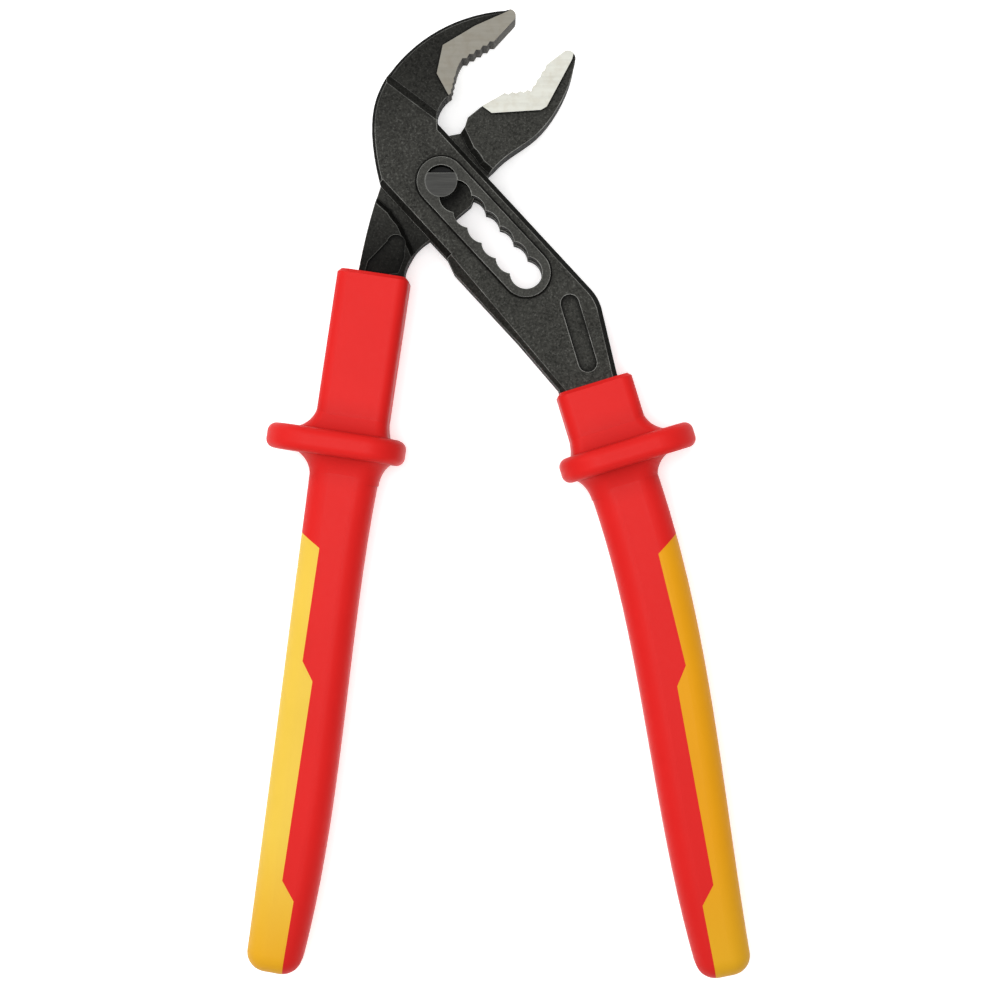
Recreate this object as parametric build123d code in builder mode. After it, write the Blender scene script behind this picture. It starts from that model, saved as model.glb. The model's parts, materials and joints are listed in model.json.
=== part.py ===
from build123d import *
import os
from math import cos, radians, sin

# Insulated tongue and groove pliers with a box joint.
# The tool lies flat: the pivot pin stands along Z, the jaws point to +Y and the handles to -Y.
# Everything is drawn about the pin in its first notch, and set down at the end.

# ---------------------------------------------------------------- driving sizes (mm, degrees)
# Pin and the row of notches
pin_diameter = 8.2
pin_flat_height = 6.2  # from the flat to the far side of the pin
notch_count = 7
notch_pitch = 5.36
slot_angle = -47.2  # direction of the row of notches
running_clearance = 0.05  # radial, round the pin
rim_margin = 2.6  # width of the raised rim round the notches
rim_height = 0.7
rim_slope = 35.0  # of its outer edge

# Thicknesses across the tool, each side of its middle plane
tongue_thickness = 5.0
side_clearance = 0.1  # tongue to cheek
cheek_thickness = 3.2
jaw_thickness = 9.0
pad_height = 0.5  # ground face above the forged jaw
neck_thickness = 8.0  # inner lever, between the box and its sleeve

# Box lever, plan view, across the row of notches
cheek_right = 9.5
cheek_left = 12.3
shank_left = 13.6  # beyond the milled stretch of the left edge
milled_edge_end = 15.5
milled_edge_length = 26.0
bevel_width = 1.6
bevel_drop = 1.8
jaw_bevel = 0.8  # back of the jaw
right_bevel = 1.3
window_gap = 0.4  # round the nose of the tongue
window_tilt = 12.0  # lower end of the window
pocket_length = 20.7
pocket_width = 4.8
pocket_depth = 0.8
pocket_turn = -26.0
jaw_step = 2.0  # slope between the cheeks and the lower jaw

# Inner lever, plan view
nose_radius = 12.3  # round end of the tongue
tongue_reach = 9.5  # pin to the straight edge of the tongue
shoulder_gap = 0.4  # thick parts of the inner lever to the cheeks
opening_limit = 6.0
closing_limit = 18.0
recess_depth = 0.7
jaw_slope = 1.5  # sloped ends of its thick parts, beside the cheeks
neck_slope = 1.2

# Teeth
coarse_depth = 0.6
fine_depth = 0.25

# Handles
insulation_thickness = 17.0
box_sleeve_length = 16.4
box_sleeve_width = 20.0
inner_sleeve_length = 41.7
inner_sleeve_width = 18.6
sleeve_corner = 3.0
sleeve_bevel = 0.9  # upper end of a sleeve
guard_width = 35.8
guard_height = 28.0
guard_thickness = 6.6
guard_shift = 3.3  # the guard stands out further on the outer side
guard_corner = 10.0
guard_edge = 2.3
cove_height = 6.8  # the guard flows into the handle over this length
cove_root = 0.8  # the coves start inside the guard
upper_cove = (7.4, 1.8, 2.2)  # reach on the outer side, the inner side and the faces
lower_cove = (7.2, 4.2, 3.4)
grip_length = 134.2  # guard to end
grip_top_width = 18.0  # below the guard
box_waist_width = 17.8  # in the middle
inner_waist_width = 16.7
grip_low_width = 16.2
grip_end_width = 13.8
grip_end_shift = 0.4  # the end turns outwards
grip_corner = 5.5
bend_start = 8.0  # below the guard
bend_length = 68.0
box_handle_bend = 8.5
inner_handle_bend = 1.4
handle_flare = 3.0  # the lower end bends back outwards
end_radius = 5.0  # rounded lower end of a grip
red_wall = 2.2
layer_width = 13.0  # inner layer, round the tang
layer_end_width = 9.0
layer_inset = 4.0  # of its upper end, inside the sleeve
tang_margin = 24.0  # end of the steel to the end of the handle
tang_top_width = 11.0  # beside the guard
tang_top_thickness = 7.0
tang_width = 9.0  # at its end
tang_thickness = 6.0
panel_edge = 3.2  # first step of the yellow panel, from the middle of the grip
panel_step = 2.9
panel_slope = 4.8  # length of each step
panel_top = 19.9  # below the guard
panel_first_step = 53.0
panel_second_step = 109.5

# ---------------------------------------------------------------- derived sizes
pin_radius = pin_diameter / 2
notch_radius = pin_radius + running_clearance
slot_length = (notch_count - 1) * notch_pitch
window_half = tongue_thickness / 2 + side_clearance
cheek_top = window_half + cheek_thickness
rim_top = cheek_top + rim_height
jaw_top = jaw_thickness / 2
pad_top = jaw_top + pad_height
neck_top = neck_thickness / 2
window_radius = nose_radius + window_gap
far = 200.0  # beyond every edge of the tool


def slot_plane(height):
    """Plan view at a height, with X along the row of notches."""
    along = Vector(1, 0, 0).rotate(Axis.Z, slot_angle)
    return Plane(origin=(0, 0, height), x_dir=along, z_dir=(0, 0, 1))


def from_slot(along, across):
    """A point given along and across the row of notches."""
    return slot_plane(0).from_local_coords(Vector(along, across, 0))


def teeth(start, end, count, depth):
    """Corners of saw teeth from start to end, cut to the left of the way."""
    start, end = Vector(*start), Vector(*end)
    pitch = (end - start) / count
    inward = pitch.normalized().rotate(Axis.Z, 90) * depth
    corners = []
    for index in range(count):
        crest = start + pitch * index
        corners += [crest, crest + pitch * 0.45 + inward]
    return corners + [end]


# ---------------------------------------------------------------- handle lines
def handle_line(start, direction, bend, sleeve_length, side):
    """Middle line of a handle: straight sleeve, a gentle bend inwards, a flare at the end."""
    straight = sleeve_length + guard_thickness + bend_start
    flare_length = grip_length - bend_start - bend_length
    with BuildLine() as line:
        top = PolarLine(start, straight, direction)
        curve = JernArc(top @ 1, top % 1, bend_length / radians(bend), side * bend)
        JernArc(curve @ 1, curve % 1, flare_length / radians(handle_flare), -side * handle_flare)
    return line.wires()[0]


def station(line, distance, side):
    """Plane across a handle at a distance along its line, with X outwards."""
    place = line.position_at(distance, position_mode=PositionMode.LENGTH)
    along = line.tangent_at(distance, position_mode=PositionMode.LENGTH)
    return Plane(origin=place, x_dir=along.cross(Vector(0, 0, side)), z_dir=along)


def polar(distance, angle):
    """A point in the plan view, about the pin."""
    return Vector(distance * cos(radians(angle)), distance * sin(radians(angle)), 0)


def beside(line, distance, offset, side):
    """A point in the plan view, beside the line of a handle."""
    return station(line, distance, side).from_local_coords(Vector(offset, 0, 0))


box_side = -1
inner_side = 1
box_line = handle_line(from_slot(slot_length + 32.6, -6.5), -73.0, box_handle_bend,
                       box_sleeve_length, box_side)
inner_line = handle_line((-17.4, -23.6), -98.5, inner_handle_bend,
                         inner_sleeve_length, inner_side)


def tang(line, side, start, width, thickness, shift, sleeve_length):
    """The steel inside a handle, tapering to its end."""
    below = sleeve_length + guard_thickness
    sections = [
        (start, width, thickness, shift),
        (below, tang_top_width, tang_top_thickness, 0),
        (below + grip_length - tang_margin, tang_width, tang_thickness, 0),
    ]
    with BuildPart() as bar:
        for distance, across, through, offset in sections:
            with BuildSketch(station(line, distance, side)):
                with Locations((offset, 0)):
                    Rectangle(across, through)
        loft(ruled=True)
    return bar.part


def handle_form(line, side, sleeve_length, sleeve_width, waist_width):
    """Outer form of a handle without its guard."""
    top = sleeve_length + guard_thickness
    sections = [
        (top, grip_top_width, 0),
        (top + 0.4 * grip_length, waist_width, 0),
        (top + 0.8 * grip_length, grip_low_width, 0),
        (top + grip_length, grip_end_width, grip_end_shift),
    ]
    with BuildPart() as form:
        with BuildSketch(station(line, 0, side)):
            RectangleRounded(sleeve_width, insulation_thickness, sleeve_corner)
        extrude(amount=top)
        chamfer(form.faces().sort_by(Axis.Y)[-1].edges(), length=sleeve_bevel)
        for distance, width, shift in sections:
            with BuildSketch(station(line, distance, side)):
                with Locations((shift, 0)):
                    RectangleRounded(width, insulation_thickness, grip_corner)
        loft()
        fillet(form.faces().sort_by(Axis.Y)[0].edges(), radius=end_radius)
    return form.part


def inner_layer(line, side, sleeve_length):
    """Yellow layer round the tang, inside the red one."""
    bend = sleeve_length + guard_thickness + bend_start
    end = sleeve_length + guard_thickness + grip_length - 2 * red_wall
    low = bend + bend_length
    sections = [
        (sleeve_length - layer_inset, layer_width),
        (bend, layer_width),
        ((bend + low) / 2, layer_width),
        (low, layer_width),
        (end, layer_end_width),
    ]
    with BuildPart() as layer:
        for distance, width in sections:
            with BuildSketch(station(line, distance, side)):
                Rectangle(width, insulation_thickness - 2 * red_wall)
        loft(ruled=True)
    return layer.part


def cove(line, side, distance, way, section, reach):
    """Hollow curve from a handle of a given width and corner out to its guard."""
    width, corner = section
    outer, inner, face = reach
    start = 0.1  # inside the handle
    with BuildPart() as flare:
        for angle in (0, 25, 50, 75):
            away = way * cove_height * (1 - sin(radians(angle)))
            spread = 1 - cos(radians(angle))
            across = width - 2 * start + (outer + inner) * spread
            through = insulation_thickness - 2 * start + 2 * face * spread
            with BuildSketch(station(line, distance + away, side)):
                with Locations(((outer - inner) * spread / 2, 0)):
                    RectangleRounded(across, through, corner)
        loft()
    return flare.part


def guard(line, side, sleeve_length, sleeve_width):
    """Flange that keeps the hand off the steel, and the coves above and below it."""
    below = sleeve_length + guard_thickness
    with BuildPart() as flange:
        with BuildSketch(station(line, sleeve_length, side)):
            with Locations((guard_shift, 0)):
                RectangleRounded(guard_width, guard_height, guard_corner)
        extrude(amount=guard_thickness)
        fillet(flange.edges(), radius=guard_edge)
        add(cove(line, side, sleeve_length + cove_root, -1, (sleeve_width, sleeve_corner), upper_cove))
        add(cove(line, side, below - cove_root, 1, (grip_top_width, grip_corner), lower_cove))
    return flange.part


def panel_zone(line, side, sleeve_length):
    """Stepped area on the outer side of a handle where the yellow layer shows."""
    top = sleeve_length + guard_thickness
    beyond = (line % 1) * grip_end_width
    low_edge = panel_edge - 2 * panel_step
    corners = [
        beside(line, top + panel_top, grip_top_width / 2 + 0.5, side),
        beside(line, top + panel_top + 0.8 * panel_slope, panel_edge, side),
        beside(line, top + panel_first_step, panel_edge + 0.3, side),
        beside(line, top + panel_first_step + panel_slope, panel_edge - panel_step, side),
        beside(line, top + panel_second_step, panel_edge - panel_step + 0.8, side),
        beside(line, top + panel_second_step + panel_slope, low_edge, side),
        beside(line, top + grip_length, low_edge, side),
        beside(line, top + grip_length, low_edge, side) + beyond,
        beside(line, top + grip_length, grip_top_width, side) + beyond,
        beside(line, top + panel_top, grip_top_width, side),
    ]
    with BuildPart() as zone:
        with BuildSketch(Plane.XY.offset(-guard_height)):
            with BuildLine():
                Polyline(corners, close=True)
            make_face()
        extrude(amount=2 * guard_height)
    return zone.part


# ---------------------------------------------------------------- box lever
shank = slot_length + tongue_reach + 2.5  # start of the solid shank, at the end of the window

with BuildSketch() as box_outline:
    with BuildLine():
        tip = ThreePointArc((-20.9, 42.8), (-19.2, 43.6), (-17.9, 42.4))
        Polyline(tip @ 1, *teeth((-17.3, 34.5), (-19.3, 24.4), 5, -coarse_depth))
        ThreePointArc((-19.3, 24.4), (-18.7, 22.9), (-17.6, 21.2))
        Polyline(*teeth((-17.6, 21.2), (-15.0, 17.4), 3, -fine_depth))
        throat = ThreePointArc((-15.0, 17.4), (-14.9, 14.0), (-13.6, 11.0))
        edge = Polyline(throat @ 1, (-11.9, cheek_right), (shank + 2.4, cheek_right))
        turn = JernArc(edge @ 1, (1, 0), 12, -26)
        Polyline(turn @ 1, (shank + 22.6, -0.2), (shank + 31.6, -4.6),
                 (shank + 28.5, -20.3), (shank + 15.9, -14.2),
                 (shank, -shank_left), (milled_edge_end + 4, -shank_left),
                 (milled_edge_end, -cheek_left), (-9.8, -cheek_left))
        Spline((-9.8, -cheek_left), (-19.0, -6.5), (-26.6, 1.4), (-30.4, 15.5), (-28.8, 28.0), tip @ 0)
    make_face()

box_tang = tang(box_line, box_side, 8.0, 14.0, 2 * cheek_top - 1.0, -1.6, box_sleeve_length)

with BuildPart() as box_lever:
    with BuildSketch(slot_plane(-cheek_top)):
        add(box_outline.sketch_local)
    extrude(amount=2 * cheek_top)

    # The jaw is lower than the cheeks, with a sloped step between them.
    for side in (1, -1):
        with BuildSketch(Plane(origin=(-4.2, 18.0, 0), x_dir=(0.6, 0.8, 0), z_dir=(0.8, -0.6, 0))):
            with BuildLine():
                Polyline((0, side * cheek_top), (jaw_step, side * jaw_top), (far, side * jaw_top),
                         (far, side * far), (0, side * far), close=True)
            make_face()
        extrude(amount=far, both=True, mode=Mode.SUBTRACT)

    # Forged bevels along the back of the jaw and along the right edge.
    chamfer(box_lever.edges().filter_by(GeomType.BSPLINE).filter_by(Plane.XY), length=jaw_bevel)
    right_edges = []
    for edge in box_lever.edges():
        place = slot_plane(0).to_local_coords(edge.center())
        if abs(abs(place.Z) - cheek_top) < 0.01 and place.X > 0 and place.Y > 2:
            right_edges.append(edge)
    chamfer(right_edges, length=right_bevel)

    # Ground faces beside the teeth.
    with BuildSketch(slot_plane(-pad_top)):
        add(box_outline.sketch_local)
        with BuildLine():
            Polyline((-20.6, 42.4), (-23.6, 33.7), (-25.6, 24.2), (-21.3, 18.1), (-15.4, 16.6),
                     (0, 17), (0, 50), (-20.6, 50), close=True)
        make_face(mode=Mode.INTERSECT)
    extrude(amount=2 * pad_top)

    # Raised rim round the notches, on both faces.
    for side in (1, -1):
        with BuildSketch(slot_plane(side * cheek_top)):
            with Locations((slot_length / 2, 0)):
                SlotCenterToCenter(slot_length, 2 * (notch_radius + rim_margin))
        extrude(amount=side * rim_height, taper=rim_slope)

    # Window for the tongue, open on both sides of the lever.
    with BuildSketch(slot_plane(-window_half)):
        with BuildLine():
            nose = CenterArc((0, 0), window_radius, 152, 45)
            Polyline(nose @ 0, (-13.4, 13), (-13.4, far), (shank - far * sin(radians(window_tilt)), far),
                     (shank + far * sin(radians(window_tilt)), -far), (-24, -far), (-24, -16), nose @ 1)
        make_face()
    extrude(amount=2 * window_half, mode=Mode.SUBTRACT)

    # The row of notches, through both cheeks.
    with BuildSketch(slot_plane(-rim_top)):
        with Locations(*[(index * notch_pitch, 0) for index in range(notch_count)]):
            Circle(notch_radius)
    extrude(amount=2 * rim_top, mode=Mode.SUBTRACT)

    # Bevels along the left edge: a milled stretch beside the window and a forged one on the shank.
    for side in (1, -1):
        with BuildSketch(Plane(origin=from_slot(milled_edge_end, 0), x_dir=from_slot(0, 1),
                               z_dir=from_slot(-1, 0))):
            with BuildLine():
                Polyline((bevel_width - cheek_left, side * cheek_top),
                         (-cheek_left, side * (cheek_top - bevel_drop)),
                         (-far, side * (cheek_top - bevel_drop)), (-far, side * far),
                         (bevel_width - cheek_left, side * far), close=True)
            make_face()
        extrude(amount=milled_edge_length, mode=Mode.SUBTRACT)
        with BuildSketch(Plane(origin=from_slot(milled_edge_end, 0), x_dir=from_slot(0.045, 1),
                               z_dir=from_slot(1, -0.045))):
            with BuildLine():
                Polyline((bevel_width + 1 - shank_left, side * cheek_top),
                         (-shank_left, side * (cheek_top - bevel_drop)),
                         (-far, side * (cheek_top - bevel_drop)), (-far, side * far),
                         (bevel_width + 1 - shank_left, side * far), close=True)
            make_face()
        extrude(amount=shank + 20 - milled_edge_end, mode=Mode.SUBTRACT)

    # Shallow pocket in the front face of the shank.
    with BuildSketch(slot_plane(cheek_top - pocket_depth)):
        with Locations(Location((shank + 8.6, -0.6, 0), (0, 0, pocket_turn))):
            SlotOverall(pocket_length, pocket_width)
    extrude(amount=pocket_depth, mode=Mode.SUBTRACT)

    add(box_tang)

# ---------------------------------------------------------------- inner lever
shoulder = cheek_right + shoulder_gap
neck_shoulder = shank_left + shoulder_gap
inner_tang = tang(inner_line, inner_side, 6.0, 11.0, neck_thickness, -2.3, inner_sleeve_length)


def thick_zone(distance, direction):
    """Where the inner lever may be thicker than its tongue and still pass the cheeks."""
    middle = direction + (opening_limit - closing_limit) / 2
    spread = (opening_limit + closing_limit) / 2
    corner = polar(distance / cos(radians(spread)), middle)
    with BuildSketch() as zone:
        with BuildLine():
            Polyline(corner, corner + polar(far, middle + 90 - spread),
                     polar(far, middle), corner + polar(far, middle - 90 + spread), close=True)
        make_face()
        Circle(distance + 0.9, mode=Mode.SUBTRACT)
    return zone.sketch


with BuildSketch() as inner_outline:
    with BuildLine():
        nose = CenterArc((0, 0), nose_radius, 82, 73)
        left = ThreePointArc(nose @ 1, (-14.2, 2.4), (-15.9, -1.3))
        neck = ThreePointArc(left @ 1, (-18.9, -11.5), (-21.3, -22.3))
        root = Polyline(neck @ 1, (-23.1, -34.2), (-11.0, -33.8), (-9.4, -22.9))
        inside = ThreePointArc(root @ 1, (-7.2, -18.6), from_slot(tongue_reach - 0.7, -12.5))
        flat = Line(inside @ 1, from_slot(tongue_reach, 1.6))
        back = Spline(flat @ 1, (12.3, 2.2), (16.6, 6.5), (23.7, 11.5), (29.5, 18.3), (34.4, 30.9))
        point = ThreePointArc(back @ 1, (34.1, 33.2), (31.9, 33.7))
        Polyline(point @ 1, *teeth((27.9, 30.7), (23.2, 23.2), 4, -fine_depth - 0.1))
        Polyline(*teeth((23.2, 23.2), (15.3, 22.2), 4, -coarse_depth + 0.1))
        Polyline((15.3, 22.2), (10.0, 19.2), (6.8, 16.6), (6.1, 14.3), (4.9, 12.8), nose @ 0)
    make_face()

def shoulder_edges(height):
    """Edges where a thick part of the inner lever ends, inside its outline."""
    outline = inner_outline.sketch.face().outer_wire()
    found = []
    for edge in inner_lever.edges():
        middle = edge.center()
        inside = outline.distance_to(Vertex(middle.X, middle.Y, 0)) > 0.5
        if inside and abs(abs(middle.Z) - height) < 0.01:
            found.append(edge)
    return found


with BuildPart() as inner_lever:
    with BuildSketch(Plane.XY.offset(-tongue_thickness / 2)):
        add(inner_outline.sketch)
    extrude(amount=tongue_thickness)
    with BuildSketch(Plane.XY.offset(-jaw_top)):
        add(inner_outline.sketch)
        add(thick_zone(shoulder, slot_angle + 90), mode=Mode.INTERSECT)
    extrude(amount=jaw_thickness)
    with BuildSketch(Plane.XY.offset(-neck_top)):
        add(inner_outline.sketch)
        add(thick_zone(neck_shoulder, slot_angle - 90), mode=Mode.INTERSECT)
    extrude(amount=neck_thickness)
    chamfer(shoulder_edges(jaw_top), length=jaw_slope)
    chamfer(shoulder_edges(neck_top), length=neck_slope)

    # Ground faces beside the teeth.
    with BuildSketch(Plane.XY.offset(-pad_top)):
        add(inner_outline.sketch)
        with BuildLine():
            Polyline((9.0, 20.6), (13.0, 17.7), (25.7, 18.5), (27.2, 19.4), (33.7, 31.5),
                     (36, 40), (8, 30), close=True)
        make_face(mode=Mode.INTERSECT)
    extrude(amount=2 * pad_top)

    # Forged recess in both faces of the neck.
    for side in (1, -1):
        with BuildSketch(Plane.XY.offset(side * neck_top)):
            with BuildLine():
                arch = ThreePointArc((-14.0, -15.2), (-11.2, -13.6), (-9.4, -15.6))
                Polyline(arch @ 1, (-9.6, -19.4), (-11.2, -23.5), (-20.2, -24.5), (-19.0, -20.4), arch @ 0)
            make_face()
        extrude(amount=-side * recess_depth, mode=Mode.SUBTRACT)

    add(inner_tang)
    with BuildSketch(Plane.XY.offset(-tongue_thickness)):
        Circle(notch_radius)
    extrude(amount=2 * tongue_thickness, mode=Mode.SUBTRACT)

# ---------------------------------------------------------------- pivot pin
with BuildPart() as pivot_pin:
    with BuildSketch(Plane.XY.offset(-rim_top)):
        Circle(pin_radius)
    extrude(amount=2 * rim_top)
    for height in (-rim_top, tongue_thickness / 2):
        with BuildSketch(Plane.XY.offset(height)):
            with Locations((0, pin_flat_height - pin_radius)):
                Rectangle(pin_diameter, pin_diameter, align=(Align.CENTER, Align.MIN))
        extrude(amount=rim_top - tongue_thickness / 2, mode=Mode.SUBTRACT)

# ---------------------------------------------------------------- insulation
box_form = handle_form(box_line, box_side, box_sleeve_length, box_sleeve_width, box_waist_width)
box_inset = inner_layer(box_line, box_side, box_sleeve_length)
box_panel = panel_zone(box_line, box_side, box_sleeve_length)
inner_form = handle_form(inner_line, inner_side, inner_sleeve_length, inner_sleeve_width,
                         inner_waist_width)
inner_inset = inner_layer(inner_line, inner_side, inner_sleeve_length)
inner_panel = panel_zone(inner_line, inner_side, inner_sleeve_length)

with BuildPart() as box_handle_core:
    add(box_form)
    add(box_panel, mode=Mode.INTERSECT)
    add(box_inset)
    add(box_lever.part, mode=Mode.SUBTRACT)

with BuildPart() as box_handle_grip:
    add(box_form)
    add(guard(box_line, box_side, box_sleeve_length, box_sleeve_width))
    add(box_panel, mode=Mode.SUBTRACT)
    add(box_inset, mode=Mode.SUBTRACT)
    add(box_lever.part, mode=Mode.SUBTRACT)

with BuildPart() as inner_handle_core:
    add(inner_form)
    add(inner_panel, mode=Mode.INTERSECT)
    add(inner_inset)
    add(inner_lever.part, mode=Mode.SUBTRACT)

with BuildPart() as inner_handle_grip:
    add(inner_form)
    add(guard(inner_line, inner_side, inner_sleeve_length, inner_sleeve_width))
    add(inner_panel, mode=Mode.SUBTRACT)
    add(inner_inset, mode=Mode.SUBTRACT)
    add(inner_lever.part, mode=Mode.SUBTRACT)

# ---------------------------------------------------------------- set down and written
pieces = {
    "box_lever": box_lever,
    "inner_lever": inner_lever,
    "pivot_pin": pivot_pin,
    "box_handle_core": box_handle_core,
    "box_handle_grip": box_handle_grip,
    "inner_handle_core": inner_handle_core,
    "inner_handle_grip": inner_handle_grip,
}
whole = Compound([piece.part for piece in pieces.values()]).bounding_box()
middle = whole.center()
set_down = Location((-middle.X, -middle.Y, -whole.min.Z))

os.makedirs("parts", exist_ok=True)
for name, piece in pieces.items():
    piece.part.move(set_down)
    piece.part.label = name
    export_step(piece.part, f"parts/{name}.step")
    print(name, len(piece.part.solids()), round(piece.part.volume), piece.part.is_valid)
print("pin axis at", round(-middle.X, 4), round(-middle.Y, 4), "middle plane at", round(-whole.min.Z, 4))
print("size", whole.size)
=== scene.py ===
"""Insulated tongue and groove pliers: materials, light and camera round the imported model."""
import json
from math import radians

import bpy
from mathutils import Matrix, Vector

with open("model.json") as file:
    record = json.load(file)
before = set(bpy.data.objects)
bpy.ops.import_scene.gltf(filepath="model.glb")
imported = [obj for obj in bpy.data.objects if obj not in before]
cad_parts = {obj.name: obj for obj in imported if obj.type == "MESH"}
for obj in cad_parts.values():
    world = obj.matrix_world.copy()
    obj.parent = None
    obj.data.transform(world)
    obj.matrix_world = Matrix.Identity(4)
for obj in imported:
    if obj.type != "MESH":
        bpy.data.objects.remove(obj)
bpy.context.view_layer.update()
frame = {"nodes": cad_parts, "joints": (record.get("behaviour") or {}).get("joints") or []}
pieces = frame["nodes"]
hinge = next(joint for joint in frame["joints"] if joint["name"] == "jaw_hinge")
pin = Vector(hinge["pos_m"])

# ---------------------------------------------------------------- places on the tool
MM = 0.001
# Heights from the middle plane of the tool
PAD_TOP = 5.0 * MM  # ground faces beside the teeth
RIM_TOP = 6.5 * MM  # raised rim round the notches
BOX_INSIDE = 3.3 * MM  # just past the inner faces of the cheeks
LEVEL_ROOM = 0.06 * MM  # a face this near to a height lies at it
# Distances from the pin
PADS_START = 12 * MM  # the ground faces begin beyond this, towards the jaws
TEETH_START = 22 * MM
MOUTH_CENTRE = pin + Vector((14, 27, 0)) * MM
MOUTH_REACH = 21 * MM  # from the centre of the mouth to the tips of the jaws
PIN_SHADOW_SPAN = (8.8 * MM, 5 * MM)  # painted shadow round the pin, from none at the first distance to strongest at the second
FOOT_SPAN = (-168 * MM, -202 * MM)  # lower end of the handles

# ---------------------------------------------------------------- view and light
scene = bpy.context.scene
scene.view_settings.view_transform = "Standard"

VIEW_CENTRE = Vector((15.13, -82.08, 0)) * MM  # from the pin
VIEW_HEIGHT = 575 * MM  # above the middle plane of the tool
LENS = 79.6
SENSOR = 36
FLOOR_SIZE = 12.0
FLOOR_GLOW = 0.42
SKY_STRENGTH = 0.37

camera = bpy.data.objects.new("camera", bpy.data.cameras.new("camera"))
camera.data.lens = LENS
camera.data.sensor_width = SENSOR
camera.location = pin + VIEW_CENTRE + Vector((0, 0, VIEW_HEIGHT))
scene.collection.objects.link(camera)
scene.camera = camera

floor_mesh = bpy.data.meshes.new("floor")
half = FLOOR_SIZE / 2
floor_mesh.from_pydata([(-half, -half, 0), (half, -half, 0), (half, half, 0), (-half, half, 0)],
                       [], [(0, 1, 2, 3)])
floor = bpy.data.objects.new("floor", floor_mesh)
scene.collection.objects.link(floor)

world = bpy.data.worlds.new("studio")
world.use_nodes = True
sky = world.node_tree.nodes["Background"]
sky.inputs["Color"].default_value = (1, 1, 1, 1)
sky.inputs["Strength"].default_value = SKY_STRENGTH
scene.world = world


def area_light(name, place, size, power):
    """A soft square light that faces the middle of the tool."""
    lamp = bpy.data.lights.new(name, "AREA")
    lamp.size = size
    lamp.energy = power
    light = bpy.data.objects.new(name, lamp)
    light.location = place
    light.rotation_euler = (-Vector(place)).to_track_quat("-Z", "Y").to_euler()
    scene.collection.objects.link(light)


area_light("key", place=(-0.36, 0.26, 0.64), size=0.65, power=3.15)
area_light("front", place=(-0.01, 0.0, 0.65), size=0.2, power=1.95)
area_light("low", place=(-0.3, -0.7, 0.7), size=1.2, power=1.2)


# ---------------------------------------------------------------- material tools
NOISE_SPAN = (0.3, 0.7)  # where nearly all values of a noise lie
OPEN_SPAN = (0.97, 0.65)  # ambient occlusion on an open face and deep in a corner


def make(tree, kind, inputs=None, **settings):
    """A shader node with its settings and its inputs, each a number, a colour or a socket."""
    node = tree.nodes.new(kind)
    for name, value in settings.items():
        setattr(node, name, value)
    for name, value in (inputs or {}).items():
        if isinstance(value, bpy.types.NodeSocket):
            tree.links.new(value, node.inputs[name])
        else:
            node.inputs[name].default_value = value
    return node


def calc(tree, operation, *values):
    """One step of arithmetic."""
    node = make(tree, "ShaderNodeMath", dict(enumerate(values)), operation=operation)
    return node.outputs[0]


def product(tree, first, *others):
    """Masks multiplied together."""
    for other in others:
        first = calc(tree, "MULTIPLY", first, other)
    return first


def vector(tree, operation, first, second=(0, 0, 0)):
    """One step of vector arithmetic."""
    return make(tree, "ShaderNodeVectorMath", {0: first, 1: second}, operation=operation)


def fit(tree, value, low, high, to_low=0.0, to_high=1.0):
    """A value carried from one range to another, and held inside it."""
    node = make(tree, "ShaderNodeMapRange", {"Value": value, "From Min": low, "From Max": high,
                                             "To Min": to_low, "To Max": to_high})
    return node.outputs["Result"]


def mixed(tree, factor, first, second):
    """A colour between two colours."""
    node = make(tree, "ShaderNodeMix", {0: factor, 6: first, 7: second}, data_type="RGBA")
    return node.outputs[2]


def solid(colour, share=1.0):
    """A colour as a socket takes it, or a share of its brightness."""
    return tuple(share * value for value in colour) + (1,)


def noise(tree, place, scale, detail, rough=0.6, stretch=(1, 1, 1), turn=0.0):
    """Noise at a number of waves a metre, stretched along an axis where the surface is ground."""
    mapping = make(tree, "ShaderNodeMapping", {"Vector": place, "Scale": stretch,
                                               "Rotation": (0, 0, turn)})
    node = make(tree, "ShaderNodeTexNoise", {"Vector": mapping.outputs[0], "Scale": scale,
                                             "Detail": detail, "Roughness": rough})
    return node.outputs[0]


def from_pin(tree, place, axis):
    """How far a point lies from the pin along an axis."""
    axes = make(tree, "ShaderNodeSeparateXYZ", {0: place})
    return calc(tree, "SUBTRACT", axes.outputs[axis], getattr(pin, axis.lower()))


def edge_mask(tree, radius, sharp):
    """1 along the convex edges of a piece, 0 on its faces."""
    bevel = make(tree, "ShaderNodeBevel", {"Radius": radius}, samples=6)
    geometry = make(tree, "ShaderNodeNewGeometry")
    turn = vector(tree, "DOT_PRODUCT", bevel.outputs[0], geometry.outputs["Normal"])
    return fit(tree, turn.outputs["Value"], 1.0, 1.0 - sharp)


def cavity(tree, reach):
    """1 deep in the inner corners of a piece, 0 on its open faces."""
    node = make(tree, "ShaderNodeAmbientOcclusion", {"Distance": reach}, samples=8, only_local=True)
    return fit(tree, node.outputs["AO"], *OPEN_SPAN)


def blank(name):
    """A new material and its shader."""
    material = bpy.data.materials.new(name)
    material.use_nodes = True
    return material, material.node_tree, material.node_tree.nodes["Principled BSDF"]


def bump(tree, shader, height, strength, distance):
    """Small relief on a surface."""
    node = make(tree, "ShaderNodeBump", {"Height": height, "Strength": strength,
                                         "Distance": distance})
    tree.links.new(node.outputs[0], shader.inputs["Normal"])


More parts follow.
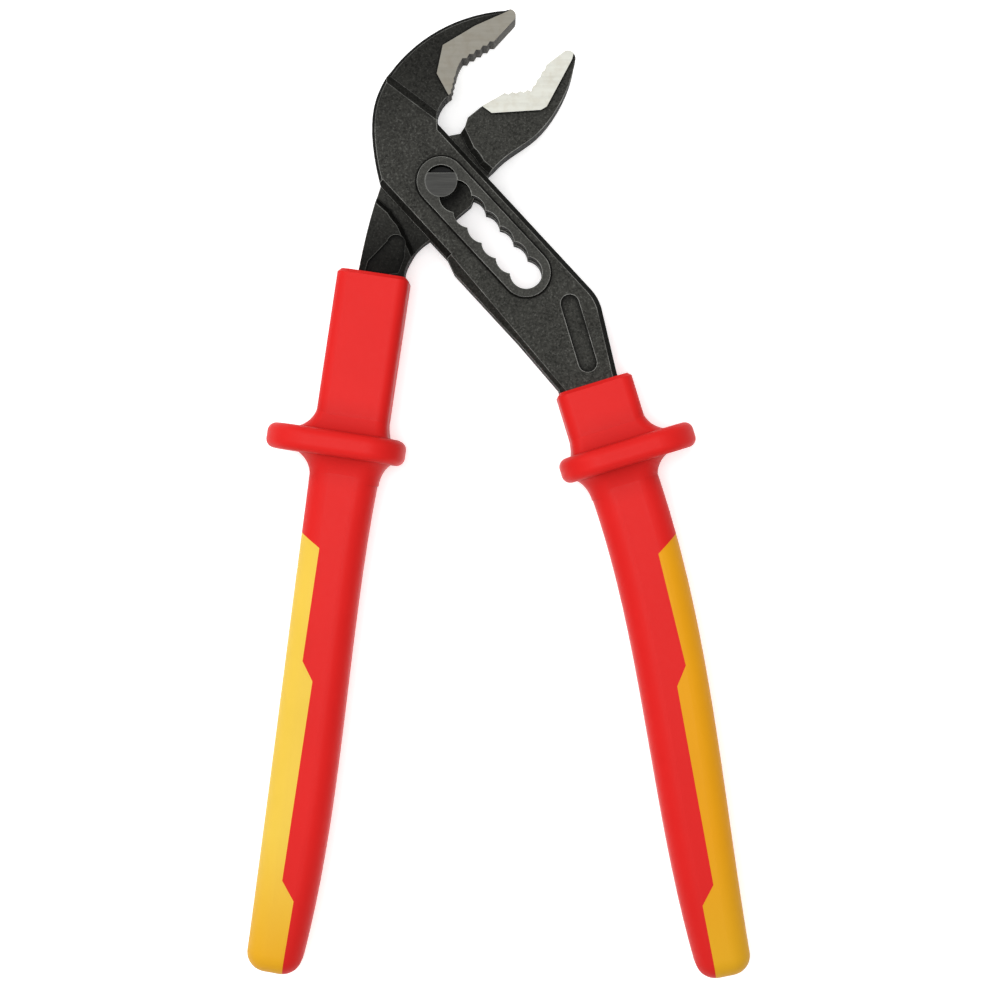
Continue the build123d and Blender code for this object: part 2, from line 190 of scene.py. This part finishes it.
# ---------------------------------------------------------------- materials
# Blackened steel
SKIN_DARK = (0.006, 0.006, 0.0052)
SKIN_LIGHT = (0.053, 0.053, 0.047)
SKIN_CLOUD = (0.056, 0.056, 0.05)
SPECK = (0.14, 0.14, 0.128)
DARKENED = (0.0008, 0.0008, 0.0006)
# Painted shadow round the pin and inside the box
PAINTED_SHADOW = (0.002, 0.002, 0.002)
RIM = (0.1, 0.1, 0.092)
# Painted shade on the sloping and side faces
FLANK_SHADE = (0.002, 0.002, 0.0016)
TOOTH = (0.11, 0.104, 0.092)
# Edges partly worn and partly a painted glint
RUBBED_GLINT = (0.38, 0.38, 0.356)
# Painted shade in the inner corners
HOLLOW_SHADE = (0.002, 0.002, 0.002)
# Stain on a ground face, as shares of its red, green and blue
STAIN = (0.74, 0.68, 0.6)
# Pin
PIN_DARK = (0.032, 0.032, 0.03)
PIN_LIGHT = (0.056, 0.056, 0.052)
# Pin edges, partly worn and partly a painted glint
PIN_EDGE_GLINT = (0.15, 0.15, 0.14)
# Floor
PAPER_DARK = (0.93, 0.93, 0.93)
PAPER_LIGHT = (0.95, 0.95, 0.95)


def tooth_faces(tree, place, normal, upright, along):
    """1 on the bare side faces of the jaws that look into the mouth."""
    inward = vector(tree, "SUBTRACT", tuple(MOUTH_CENTRE), place).outputs[0]
    turn = vector(tree, "DOT_PRODUCT", inward, normal)
    size = vector(tree, "LENGTH", inward)
    return product(tree, calc(tree, "GREATER_THAN", turn.outputs["Value"], 0.0),
                   calc(tree, "LESS_THAN", size.outputs["Value"], MOUTH_REACH),
                   calc(tree, "LESS_THAN", upright, 0.5),
                   calc(tree, "GREATER_THAN", along, TEETH_START))


def ground_steel(tree, place, colour, turn):
    """Colour of a ground face: fine lines one way, and a light stain."""
    lines = noise(tree, place, scale=700, detail=3, stretch=(0.12, 1.5, 1), turn=turn)
    stain = fit(tree, noise(tree, place, scale=420, detail=4), 0.45, 0.75, to_high=0.5)
    bright = mixed(tree, fit(tree, lines, *NOISE_SPAN), solid(colour, 0.88), solid(colour))
    stained = tuple(share * value for share, value in zip(STAIN, colour))
    return mixed(tree, stain, bright, solid(stained))


def forged_steel(name, ground_colour, ground_turn, darken_span):
    """Blackened forging with rubbed edges that carry a painted glint, painted shade in its inner
    corners and on its flanks, a painted shadow round the pin, and ground faces beside its teeth.

    The last argument is a span along the lever, in mm from the pin, over which it darkens, and by
    how much.
    """
    material, tree, shader = blank(name)
    coordinates = make(tree, "ShaderNodeTexCoord")
    place, normal = coordinates.outputs["Object"], coordinates.outputs["Normal"]
    along = from_pin(tree, place, "Y")
    height = calc(tree, "ABSOLUTE", from_pin(tree, place, "Z"))
    facing = make(tree, "ShaderNodeSeparateXYZ", {0: normal})
    upright = calc(tree, "ABSOLUTE", facing.outputs["Z"])

    # Forged skin
    cloud = noise(tree, place, scale=180, detail=4)
    grain = noise(tree, place, scale=1600, detail=3, rough=0.7)
    speck = fit(tree, noise(tree, place, scale=2000, detail=2), 0.55, 0.72)
    skin = mixed(tree, fit(tree, grain, *NOISE_SPAN), solid(SKIN_DARK), solid(SKIN_LIGHT))
    skin = mixed(tree, fit(tree, cloud, 0.3, 0.75, to_high=0.35), skin, solid(SKIN_CLOUD))
    skin = mixed(tree, product(tree, speck, 0.45), skin, solid(SPECK))

    # Darker over a span along the lever, painted shadow round the pin and painted shade on the
    # flanks; lighter on the rim and the teeth
    start, end, most = darken_span
    darkening = fit(tree, along, start * MM, end * MM, to_high=most)
    skin = mixed(tree, darkening, skin, solid(DARKENED))
    # Painted shadow round the pin, where the slot lies in shade
    reach = vector(tree, "DISTANCE", place, tuple(pin))
    pin_shadow = fit(tree, reach.outputs["Value"], *PIN_SHADOW_SPAN, to_high=0.9)
    skin = mixed(tree, pin_shadow, skin, solid(PAINTED_SHADOW))
    raised = calc(tree, "COMPARE", height, RIM_TOP, LEVEL_ROOM)
    skin = mixed(tree, product(tree, raised, 0.2), skin, solid(RIM))
    # Painted shade on the sloping and side faces, by how far they turn from upright
    skin = mixed(tree, fit(tree, upright, 0.95, 0.75, to_high=0.8), skin, solid(FLANK_SHADE))
    skin = mixed(tree, tooth_faces(tree, place, normal, upright, along), skin, solid(TOOTH))

    # Rubbed edges, partly worn and partly a painted glint, and painted shade in the hollows
    hollow_shade = cavity(tree, reach=2.8 * MM)
    # Edges partly worn and partly a painted glint
    wear_and_glint = product(tree, edge_mask(tree, radius=0.3 * MM, sharp=0.07),
                   fit(tree, cloud, 0.35, 0.65, to_low=0.3),
                   calc(tree, "LESS_THAN", hollow_shade, 0.2),
                   calc(tree, "SUBTRACT", 1.0, darkening),
                   calc(tree, "SUBTRACT", 1.0, pin_shadow))
    skin = mixed(tree, wear_and_glint, skin, solid(RUBBED_GLINT))
    # Painted shade deep in the inner corners
    skin = mixed(tree, product(tree, hollow_shade, 0.8), skin, solid(HOLLOW_SHADE))

    # Ground faces
    ground = product(tree, calc(tree, "COMPARE", height, PAD_TOP, LEVEL_ROOM),
                     calc(tree, "GREATER_THAN", upright, 0.9),
                     calc(tree, "GREATER_THAN", along, PADS_START))
    bright = ground_steel(tree, place, ground_colour, ground_turn)
    tree.links.new(mixed(tree, ground, skin, bright), shader.inputs["Base Color"])
    tree.links.new(fit(tree, grain, *NOISE_SPAN, 0.42, 0.65), shader.inputs["Roughness"])
    shader.inputs["Specular IOR Level"].default_value = 0.03
    relief = calc(tree, "ADD", cloud, product(tree, grain, 0.8))
    smoothed = calc(tree, "SUBTRACT", 1.0, product(tree, ground, 0.85))
    bump(tree, shader, product(tree, smoothed, relief), strength=0.9, distance=0.3 * MM)
    return material


def ground_pin():
    """Ground steel of the pin, with edges partly worn and partly a painted glint, and painted shade
    where it lies inside the box.
    """
    material, tree, shader = blank("pin_steel")
    place = make(tree, "ShaderNodeTexCoord").outputs["Object"]
    height = calc(tree, "ABSOLUTE", from_pin(tree, place, "Z"))
    lines = noise(tree, place, scale=1200, detail=3, stretch=(0.1, 1.5, 1), turn=radians(30))
    tone = mixed(tree, fit(tree, lines, *NOISE_SPAN), solid(PIN_DARK), solid(PIN_LIGHT))
    # Edges partly worn and partly a painted glint
    tone = mixed(tree, edge_mask(tree, radius=0.35 * MM, sharp=0.2), tone, solid(PIN_EDGE_GLINT))
    # Painted shade on the pin where it lies inside the box
    tone = mixed(tree, calc(tree, "LESS_THAN", height, BOX_INSIDE), tone, solid(PAINTED_SHADOW))
    tree.links.new(tone, shader.inputs["Base Color"])
    shader.inputs["Specular IOR Level"].default_value = 0.1
    shader.inputs["Roughness"].default_value = 0.38
    bump(tree, shader, lines, strength=0.2, distance=0.05 * MM)
    return material


def plastic(name, colour, shade, foot):
    """Satin moulded plastic with a fine grain, painted shade in its inner corners, and deeper at
    its foot.
    """
    material, tree, shader = blank(name)
    place = make(tree, "ShaderNodeTexCoord").outputs["Object"]
    cloud = noise(tree, place, scale=60, detail=3)
    grain = noise(tree, place, scale=2600, detail=2)
    tone = mixed(tree, fit(tree, cloud, *NOISE_SPAN), solid(colour), solid(shade))
    tone = mixed(tree, fit(tree, from_pin(tree, place, "Y"), *FOOT_SPAN), tone, solid(foot))
    # Painted shade in the inner corners of the moulding
    deep = product(tree, cavity(tree, reach=9 * MM), 0.7)
    tone = mixed(tree, deep, tone, solid(shade, 0.55))
    tree.links.new(tone, shader.inputs["Base Color"])
    tree.links.new(fit(tree, grain, *NOISE_SPAN, 0.43, 0.55), shader.inputs["Roughness"])
    shader.inputs["Specular IOR Level"].default_value = 0.1
    bump(tree, shader, grain, strength=0.12, distance=0.04 * MM)
    return material


def paper():
    """The pale floor, a sheet lit softly from beneath."""
    material, tree, shader = blank("floor_paper")
    place = make(tree, "ShaderNodeTexCoord").outputs["Object"]
    tone = mixed(tree, noise(tree, place, scale=6, detail=2), solid(PAPER_DARK), solid(PAPER_LIGHT))
    tree.links.new(tone, shader.inputs["Base Color"])
    shader.inputs["Roughness"].default_value = 0.9
    shader.inputs["Emission Color"].default_value = (1, 1, 1, 1)
    shader.inputs["Emission Strength"].default_value = FLOOR_GLOW
    shader.inputs["Specular IOR Level"].default_value = 0.1
    return material


red = plastic("red_layer", colour=(0.64, 0.0144, 0.0126), shade=(0.616, 0.0132, 0.0116),
              foot=(0.58, 0.014, 0.012))
dress = {
    "box_lever": forged_steel("forged_steel_box", ground_colour=(0.276, 0.262, 0.224),
                              ground_turn=radians(-64), darken_span=(10, 30, 0.5)),
    "inner_lever": forged_steel("forged_steel_inner", ground_colour=(0.644, 0.644, 0.582),
                                ground_turn=radians(-75), darken_span=(2, -20, 0.8)),
    "pivot_pin": ground_pin(),
    "box_handle_core": plastic("yellow_layer_box", colour=(0.7, 0.304, 0.0063),
                               shade=(0.675, 0.29, 0.0055), foot=(0.655, 0.335, 0.0126)),
    "box_handle_grip": red,
    "inner_handle_core": plastic("yellow_layer_inner", colour=(0.75, 0.5, 0.065),
                                 shade=(0.722, 0.479, 0.058), foot=(0.685, 0.336, 0.0115)),
    "inner_handle_grip": red,
    "floor": paper(),
}
for name, material in dress.items():
    piece = pieces.get(name, floor)
    piece.data.materials.clear()
    piece.data.materials.append(material)
